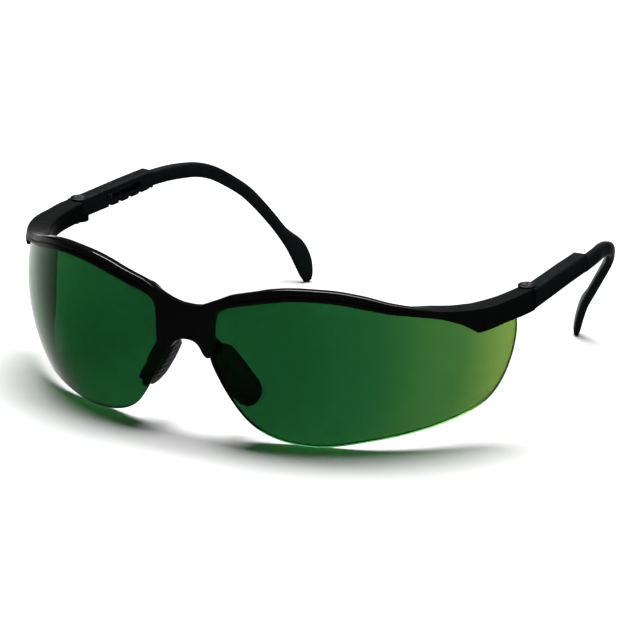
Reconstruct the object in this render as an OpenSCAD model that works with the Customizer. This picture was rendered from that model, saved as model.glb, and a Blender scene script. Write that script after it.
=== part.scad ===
// Wraparound welding spectacles: a half frame that carries two spherical
// filter lenses, a snap-in nose bracket with rubber pads, and two folding
// temples whose rear arms slide out of a sleeve in four ratchet steps.
// Millimetres. +Z is up, the lenses face -Y, and the wearer's left is +X.

/* [Lens] */
// Radius of the lens's outer sphere (530 / 9.75 base curve)
lens_radius = 54.4; // [54:0.1:55]
// Thickness of the polycarbonate lens
lens_thickness = 2.0; // [1.8:0.1:2.2]
// Distance of each sphere's centre from the middle of the face
lens_centre_x = 19.2; // [19:0.1:19.5]
// Height of the sphere's centre above the table
lens_centre_z = 27.2; // [27:0.1:27.5]
// Turn of each lens about the vertical, the wrap angle
wrap_angle = 36; // [35.5:0.1:36.5]

/* [Frame] */
// How far the frame's front stands proud of the lens
front_lip = 1.5; // [1.3:0.1:1.8]
// How far the frame's back stands behind the lens
back_lip = 0.6; // [0.5:0.1:1]
// Front-to-back depth of the nose bridge
bridge_depth = 4.4; // [4.2:0.1:5]

/* [Hinge] */
// Distance of the hinge axis from the middle of the face
hinge_x = 70; // [69.8:0.1:70.2]
// Distance of the hinge axis behind the lens's foremost point
hinge_y = 57.9; // [57.6:0.1:58.2]
// Radius of the hinge knuckles
knuckle_radius = 2.5; // [2.3:0.1:2.5]
// Height at which the two knuckles meet
knuckle_split_z = 34.1; // [33.9:0.1:34.4]
// Radius of the hinge screw's shank
screw_radius = 0.7; // [0.6:0.05:0.8]

/* [Temple] */
// Inward lean of the temple, seen from above
temple_lean = 5.9; // [5.5:0.1:6.2]
// Length of the sleeve behind the hinge axis
sleeve_length = 30.3; // [30:0.1:31]
// Thickness of the sleeve
sleeve_thickness = 4.3; // [4.2:0.1:4.5]
// Pitch of the ratchet steps
ratchet_pitch = 4.2; // [4:0.1:4.4]

/* [Nose pads] */
// Height of a rubber pad
pad_height = 18.5; // [17.5:0.5:19]
// Width of a rubber pad, front to back
pad_width = 9; // [8.5:0.5:9.5]
// Thickness of a rubber pad
pad_thickness = 3.2; // [3:0.1:3.4]

/* [Hidden] */
$fn = 64;
ball_fn = 128;
eps = 0.01;
far = 120;

// The model's origin is under the middle of its bounding box.
front_y = -0.34;
rear_y = 129.76;
mid_y = (front_y + rear_y) / 2;

lens_centre = [lens_centre_x, lens_radius, lens_centre_z];
groove_gap = 0.06;

// ---------- curves ----------

// A point on the Catmull-Rom curve from b to c, at t from 0 to 1.
function blend4(a, b, c, d, t) =
    0.5 * (2 * b + (c - a) * t + (2 * a - 5 * b + 4 * c - d) * t * t
           + (3 * b - a - 3 * c + d) * t * t * t);

// A smooth open curve through the points p, with n steps between each two.
function smooth(p, n = 4) = let (k = len(p) - 1) concat(
    [for (i = [0 : k - 1], j = [0 : n - 1])
        blend4(i == 0 ? 2 * p[0] - p[1] : p[i - 1], p[i], p[i + 1],
               i == k - 1 ? 2 * p[k] - p[k - 1] : p[i + 2], j / n)],
    [p[k]]);

// A smooth closed curve through the points p.
function smooth_loop(p, n = 4) = let (k = len(p))
    [for (i = [0 : k - 1], j = [0 : n - 1])
        blend4(p[(i + k - 1) % k], p[i], p[(i + 1) % k], p[(i + 2) % k], j / n)];

function unit(v) = v / norm(v);

// ---------- outlines ----------

// The lens's edge: distance along the wrapped lens, height above the table.
lens_edge = [
    [-41, 22], [-38.4, 16], [-35.7, 11.4], [-33, 7.6], [-30.2, 4.7], [-26.6, 2.4],
    [-22, 0.8], [-16, 0.04], [-10, 0.3], [0, 2.2], [8.3, 3.7], [16.2, 5.4], [23, 7.2],
    [29.6, 9.7], [33.4, 12.6], [36, 16.2], [38, 20.6], [39.4, 25.4], [40, 31],
    [38.5, 34.6], [30, 36.7], [18.5, 38.7], [5, 40.9], [-8, 43.1], [-20.5, 43.3],
    [-30.5, 41.2], [-36.5, 38.5], [-40, 34], [-41.3, 28],
];

// The brow's upper edge, from the bridge to the hinge, in the lens's coordinates.
brow_top = [
    [-43, 36.9], [-39, 38.6], [-34.3, 40.7], [-26, 43.6], [-17.5, 45], [-8, 44.8],
    [0, 43.3], [8, 41.3], [16, 39.6], [25, 38.3], [31.5, 37.9], [38, 37.8], [48, 37.7],
];
// The brow's lower edge, from the endpiece's corner back to the bridge.
brow_bottom = [
    [29.3, 31.6], [26.6, 33.4], [23.6, 35], [18.5, 36.9], [12, 38.1], [5.2, 39.1],
    [-1, 40.4], [-8, 41.6], [-14.5, 42], [-20.7, 41.7], [-31, 39.4], [-37.2, 37],
    [-43, 34],
];
// The lower edge of the endpiece.
endpiece_bottom = [[48, 31.8], [36, 32.1]];

// The bridge's front view, right half: the top, then the arch and lobe below.
bridge_top = [[0, 35.8], [3, 36.2], [7, 37.6], [11, 39], [13, 39.8]];
bridge_lens_side = [[13, 37.4], [11, 36.3], [9.5, 34.4], [8.9, 31], [9, 27.5], [8.9, 24.4]];
bridge_arch = [[8.1, 23], [6.6, 22.6], [5.3, 23.3], [3.9, 25], [2.2, 26], [0, 26.3]];

// The bridge's front and back in plan, right half.
bridge_front = [[0, 1.1], [4, 0.8], [8, 0.3], [13, 0.2]];

// The rabbet behind the bridge: its inner side, its front, and its top.
rabbet = [6.35, 2.2, 35.5];

// The inside of the endpiece in plan.
endpiece_inside = [
    [57.6, 18.9], [61, 26], [63.9, 33], [65.9, 39], [67, 45], [67.7, 52], [68, 58],
];

// The outside of the endpiece in plan, from the hinge forwards.
endpiece_outside = [[73.2, 58.5], [73.3, 56.4], [73.4, 53], [73.5, 48], [73.6, 44], [77, 38]];

// Half the width that the frame's drawings in plan may cover.
frame_reach = 77;

// A point of the lens's plane, carried forwards onto its outer sphere.
function on_sphere(p) = [p.x, -sqrt(pow(lens_radius, 2) - pow(p.x, 2)
                                    - pow(p.y - lens_centre.z, 2)), p.y - lens_centre.z];

// How many times the lens's radius the cone below reaches.
cone_reach = 1.25;
lens_middle = [-1, 22];

// The solid cone from the sphere's centre out through the lens's edge, so
// that the edge stands square to the lens.
module lens_cone(grow = 0) {
    edge = smooth_loop([for (p = lens_edge) p + grow * unit(p - lens_middle)], 3);
    n = len(edge);
    rim = [for (p = edge) cone_reach * on_sphere(p)];
    translate(lens_centre) rotate([0, 0, wrap_angle])
        polyhedron(concat(rim, [[0, 0, 0], cone_reach * on_sphere(lens_middle)]),
            [for (i = [0 : n - 1], end = [0, 1])
                let (j = (i + 1) % n) end == 0 ? [n, i, j] : [n + 1, j, i]]);
}

// Carries a flat drawing into the lens's own upright plane and extrudes it
// forwards through the shell.
module along_lens() {
    translate([lens_centre.x, lens_centre.y, 0])
        rotate([0, 0, wrap_angle])
            rotate([90, 0, 0]) linear_extrude(height = far) children();
}

module ball(radius) {
    translate(lens_centre) sphere(r = radius, $fn = ball_fn);
}

module shell(outer, inner) {
    difference() {
        ball(outer);
        ball(inner);
    }
}

// ---------- lens ----------

module lens() {
    color([0.05, 0.28, 0.12, 0.8]) intersection() {
        shell(lens_radius, lens_radius - lens_thickness);
        lens_cone();
    }
}

// ---------- brow frame ----------

module brow_outline() {
    polygon(concat(smooth(brow_top, 3), endpiece_bottom, smooth(brow_bottom, 3)));
}

// The joint between frame and sleeve runs aslant, further back on the outside.
joint_inside = [66, 54.5];
joint_outside = [76, 57.9];
joint_gap = 0.12;

// Where the half frame may be, seen from above: outboard of the bridge and
// in front of the hinge joint.
module frame_limits() {
    linear_extrude(height = far / 2) polygon([
        [9, -5], [80, -5], joint_outside - [0, joint_gap], joint_inside - [0, joint_gap],
        [9, 54],
    ]);
}

// Fills the endpiece in plan, from endpiece_inside out to its outer face.
module endpiece_plan() {
    start = [frame_reach, endpiece_inside[0].y];
    polygon(concat([start], smooth(endpiece_inside, 3), smooth(endpiece_outside, 3)));
}

// Everything inboard of the endpiece's outer face.
module outer_limit() {
    polygon(concat([[-5, -5], [frame_reach, -5]], [for (i = [len(endpiece_outside) - 1 : -1 : 0])
        endpiece_outside[i]], [[-5, 62]]));
}

module half_brow() {
    front = lens_radius + front_lip;
    back = lens_radius - lens_thickness - back_lip;
    intersection() {
        frame_limits();
        along_lens() brow_outline();
        linear_extrude(height = far / 2) outer_limit();
        union() {
            shell(front, lens_radius - 0.6);
            intersection() {
                shell(front, back);
                lens_cone(1);
            }
            intersection() {
                ball(front);
                linear_extrude(height = far / 2) endpiece_plan();
            }
        }
    }
}

function mirrored(p) = [for (i = [len(p) - 1 : -1 : 0]) [-p[i].x, p[i].y]];

// Behind the lens the bridge is narrow, so that the lens's inner edge rests
// in a rabbet that is open to the back.
module lens_rabbet() {
    translate([rabbet.x, rabbet.y, 0]) cube([far / 2, far / 2, rabbet.z]);
}

module bridge() {
    outline = concat(smooth(bridge_top, 3), smooth(bridge_lens_side, 3), smooth(bridge_arch, 3));
    front = smooth(bridge_front, 3);
    difference() {
        intersection() {
            translate([0, 20, 0]) rotate([90, 0, 0]) linear_extrude(height = 40)
                polygon(concat(outline, mirrored(outline)));
            linear_extrude(height = far / 2) polygon(concat(
                mirrored(front), front,
                [[13, bridge_depth - 0.6], [-13, bridge_depth - 0.6]]));
        }
        both() lens_rabbet();
    }
}

// The endpiece's knuckle, under the sleeve's. Its root keeps clear of the
// sleeve as the temple folds.
knuckle_floor = 31.8;

module lower_knuckle() {
    height = knuckle_split_z - knuckle_floor;
    translate([hinge_x, hinge_y, knuckle_floor]) {
        cylinder(r = knuckle_radius, h = height);
        translate([-1.6, -knuckle_radius - 1, 0])
            cube([1.6 + knuckle_radius, knuckle_radius + 1, height]);
    }
}

// Room in the endpiece for the sleeve's knuckle to turn.
module knuckle_relief() {
    translate([hinge_x, hinge_y, knuckle_split_z])
        cylinder(r = knuckle_radius + 0.15, h = far);
}

insert_radius = 1.3;
insert_height = 1.9;
insert_floor = 32.0;

module insert_seat() {
    translate([hinge_x, hinge_y, insert_floor])
        cylinder(r = insert_radius, h = insert_height + eps);
    translate([hinge_x, hinge_y, insert_floor])
        cylinder(r = screw_radius + 0.1, h = 4);
}

module lens_groove() {
    intersection() {
        shell(lens_radius + groove_gap, lens_radius - lens_thickness - groove_gap);
        lens_cone(0.25);
    }
}

module both() {
    children();
    mirror([1, 0, 0]) children();
}

module brow_frame() {
    color([0.03, 0.03, 0.035]) difference() {
        union() {
            both() half_brow();
            both() lower_knuckle();
            bridge();
        }
        both() lens_groove();
        both() insert_seat();
        both() knuckle_relief();
        bracket_sockets();
    }
}

// ---------- hinge hardware ----------

screw_head_radius = 1.45;
screw_head_height = 0.8;
screw_top = 38.3;
// One arm of the screw's cross recess: length, width, depth.
recess = [2, 0.36, 0.45];

module hinge_screw() {
    head_bottom = screw_top - screw_head_height;
    color([0.12, 0.12, 0.13]) translate([hinge_x, hinge_y, 0]) difference() {
        union() {
            translate([0, 0, insert_floor + 0.2])
                cylinder(r = screw_radius, h = head_bottom - insert_floor);
            translate([0, 0, head_bottom])
                cylinder(r = screw_head_radius, h = screw_head_height);
        }
        for (turn = [0, 90])
            rotate([0, 0, turn + 20])
                translate([-recess[0] / 2, -recess[1] / 2, screw_top - recess[2]])
                    cube(recess + [0, 0, 1]);
    }
}

// The brass thread insert that is moulded into the lower knuckle.
module hinge_insert() {
    color([0.75, 0.6, 0.3]) translate([hinge_x, hinge_y, insert_floor]) difference() {
        cylinder(r = insert_radius, h = insert_height);
        translate([0, 0, -1]) cylinder(r = screw_radius + eps, h = 5);
    }
}

// ---------- temple ----------
// Temple coordinates: x outwards, y rearwards along the sleeve, z up, with
// the hinge axis at x = y = 0.

outer_face = 3.2;
inner_face = outer_face - sleeve_thickness;
channel = [0.35, 2.05];
channel_z = [34.5, 36.9];
stud_y = 11.5;
stud_z = 35.7;
stud_radius = 0.95;
ratchet_steps = 3;

module temple_frame() {
    translate([hinge_x, hinge_y, 0]) rotate([0, 0, temple_lean]) children();
}

// The side view of the sleeve, and the lower edge of its inner wall.
sleeve_top = [[-3, 37.7], [3, 37.6], [8, 37.7], [20, 38], [sleeve_length, 38.1]];
sleeve_bottom = [[sleeve_length, 33.3], [18, 32.9], [6, 32.3], [-3, 31.9]];
inner_bottom = [[sleeve_length, 33.5], [24, 32.9], [12, 32.7], [6, 32.6], [-3, 32.4]];
boss_top = 38.2;

module upright(points, width) {
    rotate([90, 0, 90]) linear_extrude(height = width) polygon(points);
}

// The sleeve seen from above: a slanted front that meets the endpiece on the
// outside, and a round knuckle on the inside.
module sleeve_plan() {
    translate([inner_face, 0]) square([sleeve_thickness, sleeve_length]);
    circle(r = knuckle_radius);
    intersection() {
        translate([0, -knuckle_radius]) square([outer_face, knuckle_radius + eps]);
        rotate([0, 0, -temple_lean]) translate([-hinge_x, -hinge_y]) polygon([
            joint_inside + [0, joint_gap], joint_outside + [0, joint_gap],
            [76, 62], [66, 62],
        ]);
    }
}

notch_radius = 0.85;
notch_z = 32.9;
notch_lead = 0.6;

module ratchet_notches() {
    for (i = [0 : ratchet_steps + 1])
        translate([inner_face - 1, stud_y + notch_lead + i * ratchet_pitch, notch_z])
            rotate([0, 90, 0])
                cylinder(r = notch_radius, h = 1 + channel[0] - inner_face, $fn = 24);
}

module temple_sleeve() {
    slot_end = stud_y + ratchet_steps * ratchet_pitch;
    slot_radius = stud_radius + 0.1;
    color([0.04, 0.04, 0.045]) temple_frame() difference() {
        union() {
            intersection() {
                linear_extrude(height = far / 2) sleeve_plan();
                translate([-10, 0, 0]) upright(concat(sleeve_top, sleeve_bottom), 20);
            }
            translate([0, 0, 36]) cylinder(r = knuckle_radius, h = boss_top - 36);
        }
        // the inner wall is cut short
        translate([-10, 0, 0])
            upright(concat(inner_bottom, [[-3, 30], [sleeve_length + 1, 30]]), 10 + channel[0]);
        // room for the lower knuckle
        translate([0, 0, 20]) cylinder(r = knuckle_radius + 0.2, h = knuckle_split_z + 0.1 - 20);
        translate([-6, -6, 20])
            cube([6 + knuckle_radius + 0.2, 6, knuckle_split_z + 0.1 - 20]);
        // screw hole and its counterbore
        cylinder(r = screw_radius + 0.05, h = far);
        translate([0, 0, screw_top - screw_head_height - 0.02])
            cylinder(r = screw_head_radius + 0.08, h = 5);
        // channel for the arm's blade
        translate([channel[0], 5, channel_z[0]])
            cube([channel[1] - channel[0], far, channel_z[1] - channel_z[0]]);
        // window for the stud
        for (y = [stud_y, slot_end])
            translate([inner_face - 1, y, stud_z]) rotate([0, 90, 0])
                cylinder(r = slot_radius, h = 1 + channel[0] - inner_face + eps);
        translate([inner_face - 1, stud_y, stud_z - slot_radius])
            cube([1 + channel[0] - inner_face + eps, slot_end - stud_y, 2 * slot_radius]);
        ratchet_notches();
    }
}

// The centre of the arm, from the sleeve to the tip, in the glasses' own
// coordinates before they are centred.
arm_path = [
    [68.75, 88.4, 35], [67.1, 96.5, 34.8], [65.3, 102.5, 34.3], [64, 107.2, 33.4],
    [62.3, 111.8, 31.6], [60, 116, 28.7], [57.1, 119.7, 25.2], [54.4, 121.8, 21.7],
    [51.5, 123.5, 17.8], [48.6, 124.9, 13.7], [45.9, 126, 9.6], [44, 126.9, 5.6],
    [42.8, 127.5, 2.2], [42.3, 127.8, 0.4],
];
// At each point of arm_path: the arm's half height, its half thickness, and
// how far the section is set towards the arm's upper side.
arm_size = [
    [2.15, 1.45, 0], [2.15, 1.4, 0], [2.1, 1.38, 0], [2, 1.35, 0], [1.9, 1.32, 0],
    [1.8, 1.3, 0], [1.7, 1.28, 0], [1.62, 1.26, 0], [1.55, 1.24, 0], [1.6, 1.22, 0.05],
    [2.5, 1.2, 0.75], [2.55, 1.15, 0.65], [1.9, 1.05, 0.25], [1.1, 0.75, 0],
];
// The way the arm's thickness faces, at its two ends, and how the turn is
// spread along it.
arm_twist = [temple_lean, 34];
arm_twist_spread = 0.8;
arm_sides = 12;
// 1 would make the arm's section an ellipse, and 0 a rectangle.
arm_roundness = 0.6;

// One rounded cross-section of the arm, as points in space.
function arm_ring(centre, along, share, size) =
    let (turn = pow(share, arm_twist_spread),
         heading = arm_twist[0] + (arm_twist[1] - arm_twist[0]) * turn,
         flat = [cos(heading), sin(heading), 0],
         side = unit(flat - (flat * along) * along),
         up = cross(side, along))
    [for (i = [0 : arm_sides - 1])
        let (a = 360 * (i + 0.5) / arm_sides,
             c = sign(cos(a)) * pow(abs(cos(a)), arm_roundness),
             s = sign(sin(a)) * pow(abs(sin(a)), arm_roundness))
        centre + side * c * size[1] + up * (s * size[0] + size[2])];

module arm_body() {
    path = smooth(arm_path, 4);
    size = smooth(arm_size, 4);
    n = len(path);
    rings = [for (i = [0 : n - 1])
        arm_ring(path[i], unit(path[min(i + 1, n - 1)] - path[max(i - 1, 0)]),
                 i / (n - 1), size[i])];
    points = [for (ring = rings, p = ring) p];
    polyhedron(points, concat(
        [[for (k = [arm_sides - 1 : -1 : 0]) k]],
        [[for (k = [0 : arm_sides - 1]) (n - 1) * arm_sides + k]],
        [for (i = [0 : n - 2], k = [0 : arm_sides - 1], half = [0, 1])
            let (a = i * arm_sides + k, b = i * arm_sides + (k + 1) % arm_sides)
            half == 0 ? [a, b, a + arm_sides] : [b, b + arm_sides, a + arm_sides]]));
}

module arm_blade() {
    play = 0.1;
    temple_frame() translate([channel[0] + play, stud_y - 2, channel_z[0] + play])
        cube([channel[1] - channel[0] - 2 * play, sleeve_length + 4 - stud_y,
              channel_z[1] - channel_z[0] - 2 * play]);
}

module stud_hole() {
    temple_frame() translate([-3, stud_y, stud_z]) rotate([0, 90, 0])
        cylinder(r = 0.55, h = 8);
}

module temple_arm() {
    color([0.04, 0.04, 0.045]) difference() {
        union() {
            arm_body();
            arm_blade();
        }
        stud_hole();
    }
}

// The stud that runs in the sleeve's window, pressed into the blade.
module slide_stud() {
    color([0.08, 0.08, 0.09]) temple_frame() {
        translate([inner_face - 0.2, stud_y, stud_z]) rotate([0, 90, 0])
            cylinder(r = stud_radius, h = channel[0] + 0.08 - inner_face + 0.2);
        translate([channel[0] + 0.08 - eps, stud_y, stud_z]) rotate([0, 90, 0])
            cylinder(r = 0.54, h = 1.3);
    }
}

// ---------- nose ----------

bracket_y = bridge_depth - 0.6;
wing_thickness = 1.4;
// Top and bottom of a pad's centre line, at its nose side.
pad_top = [7.2, 7.3, 25.1];
pad_foot = [17.1, 7.3, 10.1];
pad_turn = 4;
// How far the pad turns in its own plane, so that its foot lies further back.
pad_pitch = 17;
// The foremost that a pad may reach behind the bridge.
pad_front = bracket_y + 0.3;

// Carries an upright drawing (x front to back, y up) onto the pad's back.
module on_pad() {
    lean = atan2(pad_foot.x - pad_top.x, pad_top.z - pad_foot.z);
    translate((pad_top + pad_foot) / 2)
        rotate([0, 0, -pad_turn]) rotate([0, -lean, 0])
            rotate([90, 0, 90]) rotate([0, 0, pad_pitch]) children();
}

module pad_outline(grow = 0) {
    reach = pad_height / 2 - pad_width / 2;
    for (side = [-1, 1])
        translate([0, side * reach]) circle(r = pad_width / 2 + grow);
    square([pad_width + 2 * grow, 2 * reach], center = true);
}

peg_radius = 1.1;

module pad_pegs(radius, height) {
    for (side = [-1, 1])
        translate([0, side * 4, -height]) cylinder(r = radius, h = height + eps);
}

// Keeps a piece behind the lens, and no further forward than front.
module behind_lens(front) {
    intersection() {
        children();
        ball(lens_radius - lens_thickness - 0.35);
        translate([0, front, 0]) cube(far / 2);
    }
}

// The rubber pad: its ribbed face looks to the nose.
rib_pitch = 2.1;
rib_groove = 0.45;
crown_radius = 13.2;

module nose_pad() {
    color([0.02, 0.02, 0.02]) behind_lens(pad_front) on_pad() translate([0, 0, -pad_thickness]) difference() {
        intersection() {
            linear_extrude(height = pad_thickness) pad_outline();
            translate([0, 0, crown_radius]) rotate([90, 0, 0])
                cylinder(r = crown_radius, h = pad_height + 2, center = true);
        }
        for (i = [-3 : 3])
            translate([0, i * rib_pitch, 0]) rotate([0, 90, 0])
                cylinder(r = rib_groove, h = pad_width + 2, center = true, $fn = 16);
        translate([0, 0, pad_thickness]) pad_pegs(peg_radius + 0.05, 1.5);
    }
}

module bracket_wing() {
    on_pad() translate([0, 0, 0.05]) {
        linear_extrude(height = wing_thickness) pad_outline(-0.6);
        pad_pegs(peg_radius, 1.4);
    }
}

tab = [3.2, 1.6, 3.4];
tab_x = 2.3;

// The two pockets in the back of the bridge that take the bracket's tabs.
module bracket_sockets() {
    both() translate([tab_x - 0.05, bracket_y - tab.y - 0.1, 29.4])
        cube([tab.x + 0.1, tab.y + 0.1 + eps, tab.z + 0.1]);
}

// A bar behind the bridge that comes down each side to the pad wings.
module nose_bracket() {
    bar_top = 34.2;
    bar_bottom = 27.6;
    outline = [
        [0, bar_top], [4.8, bar_top - 0.1], [5.6, 33.2], [5.6, 29.2], [6.1, 27.9], [7.2, 26.9],
        [8.6, 25.9], [10.2, 24.2], [11.8, 21.9], [13.2, 19.4], [13.9, 17.2], [12.8, 17.2],
        [11.45, 19.4], [9.75, 22], [8.3, 24.2], [7.3, 25.5], [5, 26.8], [0, bar_bottom],
    ];
    color([0.05, 0.05, 0.055]) {
        translate([0, bracket_y + 2.05, 0]) rotate([90, 0, 0]) linear_extrude(height = 2)
            polygon(concat(smooth(outline, 2), mirrored(smooth(outline, 2))));
        both() translate([tab_x, bracket_y - tab.y + eps, 29.45])
            cube([tab.x, tab.y + 0.1, tab.z]);
        both() behind_lens(bracket_y + 0.05) bracket_wing();
    }
}

// ---------- placing ----------

module centred() {
    translate([0, -mid_y, 0]) children();
}

module left() {
    centred() children();
}

module right() {
    centred() mirror([1, 0, 0]) children();
}

centred() brow_frame();
left() lens();  // left_lens
right() lens();  // right_lens
centred() nose_bracket();
left() nose_pad();  // left_nose_pad
right() nose_pad();  // right_nose_pad
left() hinge_screw();  // left_hinge_screw
right() hinge_screw();  // right_hinge_screw
left() hinge_insert();  // left_hinge_insert
right() hinge_insert();  // right_hinge_insert
left() temple_sleeve();  // left_temple_sleeve
right() temple_sleeve();  // right_temple_sleeve
left() temple_arm();  // left_temple_arm
right() temple_arm();  // right_temple_arm
left() slide_stud();  // left_slide_stud
right() slide_stud();  // right_slide_stud
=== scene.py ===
"""The looks of a pair of wraparound welding spectacles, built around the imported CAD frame.

Lengths are in millimetres in the glasses' own drawing: +X to the wearer's left, +Z up from the table,
and Y = 0 at the lens's foremost point. placed() carries them into the frame, in metres.
"""

import math

import bmesh
import bpy
from mathutils import Matrix, Vector


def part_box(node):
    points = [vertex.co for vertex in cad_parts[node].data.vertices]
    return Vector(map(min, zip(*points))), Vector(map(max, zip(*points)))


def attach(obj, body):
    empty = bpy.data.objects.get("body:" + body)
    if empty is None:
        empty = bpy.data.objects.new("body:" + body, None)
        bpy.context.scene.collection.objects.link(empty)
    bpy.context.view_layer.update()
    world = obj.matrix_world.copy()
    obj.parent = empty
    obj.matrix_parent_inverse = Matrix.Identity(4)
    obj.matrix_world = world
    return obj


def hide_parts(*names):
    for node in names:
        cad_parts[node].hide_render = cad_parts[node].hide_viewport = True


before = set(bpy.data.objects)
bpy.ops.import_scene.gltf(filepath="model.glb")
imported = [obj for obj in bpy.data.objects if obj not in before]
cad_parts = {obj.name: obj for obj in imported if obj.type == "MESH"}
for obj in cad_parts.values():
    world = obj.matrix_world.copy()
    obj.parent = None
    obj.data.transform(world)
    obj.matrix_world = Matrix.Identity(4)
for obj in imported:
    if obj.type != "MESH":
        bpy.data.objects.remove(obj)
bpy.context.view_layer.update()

MM = 0.001
LENS_FRONT_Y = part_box("left_lens")[0].y

# Lens: one spherical shell a side, wrapped about the vertical.
LENS_RADIUS = 54.4
LENS_THICKNESS = 2.0
LENS_CENTRE = Vector((19.2, LENS_RADIUS, 27.2))
WRAP = math.radians(36)

# Hinge and temple
HINGE = Vector((70.0, 57.9, 0.0))
TEMPLE_LEAN = math.radians(5.9)
KNUCKLE_RADIUS = 2.5
KNUCKLE_FLOOR = 31.8
KNUCKLE_SPLIT = 34.1
JOINT_INSIDE = Vector((66.0, 54.5))
JOINT_OUTSIDE = Vector((76.0, 57.9))
JOINT_GAP = 0.12

# Heights that are clear of everything round the hinge, where its cutters start and end.
BELOW_HINGE = 20
ABOVE_ALL = 50


# ---------- small tools ----------


def placed(p):
    """A point of the drawing, in the frame's metres."""
    return Vector((p[0] * MM, p[1] * MM + LENS_FRONT_Y, p[2] * MM))


def catmull(a, b, c, d, t):
    """A point on the Catmull-Rom curve from b to c. The points are tuples of any length."""
    return tuple(
        0.5 * (2 * q + (r - p) * t + (2 * p - 5 * q + 4 * r - s) * t * t
               + (3 * q - p - 3 * r + s) * t ** 3)
        for p, q, r, s in zip(a, b, c, d)
    )


def smooth(points, steps):
    """A smooth open curve through the points, with that many steps between each two."""
    first = tuple(2 * a - b for a, b in zip(points[0], points[1]))
    last = tuple(2 * a - b for a, b in zip(points[-1], points[-2]))
    run = [first, *points, last]
    out = [
        catmull(*run[i : i + 4], j / steps)
        for i in range(len(points) - 1)
        for j in range(steps)
    ]
    return out + [tuple(points[-1])]


def smooth_loop(points, steps):
    """A smooth closed curve through the points."""
    n = len(points)
    return [
        catmull(*(points[(i + k - 1) % n] for k in range(4)), j / steps)
        for i in range(n)
        for j in range(steps)
    ]


def mix(a, b, t):
    return a + (b - a) * t


def ease(low, high, x):
    """0 below low, 1 above high, and a smooth step between."""
    t = min(1, max(0, (x - low) / (high - low)))
    return t * t * (3 - 2 * t)


def mesh_object(name, points, faces, mirrored=False):
    """An object from points of the drawing. A mirrored one is the wearer's right-hand twin."""
    if mirrored:
        points = [(-p[0], p[1], p[2]) for p in points]
        faces = [tuple(reversed(f)) for f in faces]
    mesh = bpy.data.meshes.new(name)
    mesh.from_pydata([placed(p) for p in points], [], faces)
    mesh.validate()
    obj = bpy.data.objects.new(name, mesh)
    bpy.context.scene.collection.objects.link(obj)
    shade(obj)
    return obj


def shade(obj, angle=40):
    """Smooth shading that keeps edges sharper than the angle."""
    mesh = obj.data
    mesh.shade_smooth()
    mesh.set_sharp_from_angle(angle=math.radians(angle))


def loft(rings, closed_ends=True):
    """Points and faces of a tube through equal rings."""
    n = len(rings[0])
    points = [p for ring in rings for p in ring]
    faces = [
        (i * n + k, i * n + (k + 1) % n, (i + 1) * n + (k + 1) % n, (i + 1) * n + k)
        for i in range(len(rings) - 1)
        for k in range(n)
    ]
    if closed_ends:
        faces.append(tuple(reversed(range(n))))
        faces.append(tuple(range(len(points) - n, len(points))))
    return points, faces


def faced_outwards(obj):
    work = bmesh.new()
    work.from_mesh(obj.data)
    bmesh.ops.recalc_face_normals(work, faces=work.faces)
    work.to_mesh(obj.data)
    work.free()


def combine(obj, other, operation):
    """Applies a boolean with another closed object, which is used up."""
    modifier = obj.modifiers.new("cut", "BOOLEAN")
    modifier.operation = operation
    modifier.solver = "MANIFOLD"
    modifier.object = other
    bpy.context.view_layer.update()
    result = bpy.data.meshes.new_from_object(obj.evaluated_get(bpy.context.evaluated_depsgraph_get()))
    obj.modifiers.clear()
    obj.data = result
    bpy.data.objects.remove(other)
    return obj


def circle(x, y, radius, sides):
    """A closed round outline about the point (x, y)."""
    turns = [2 * math.pi * k / sides for k in range(sides)]
    return [(x + radius * math.cos(a), y + radius * math.sin(a)) for a in turns]


def solid(name, points, faces, mirrored=False):
    """A closed mesh_object whose faces look outwards."""
    obj = mesh_object(name, points, faces, mirrored)
    faced_outwards(obj)
    return obj


def cylinder(name, centre, radius, low, high, mirrored=False):
    """An upright cylinder about the point's x and y."""
    return prism(name, circle(centre[0], centre[1], radius, 96), low, high, mirrored)


def prism(name, outline, low, high, mirrored=False):
    """A plan outline carried up from low to high."""
    return solid(name, *loft([[(x, y, z) for x, y in outline] for z in (low, high)]), mirrored)


# ---------- materials ----------


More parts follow.
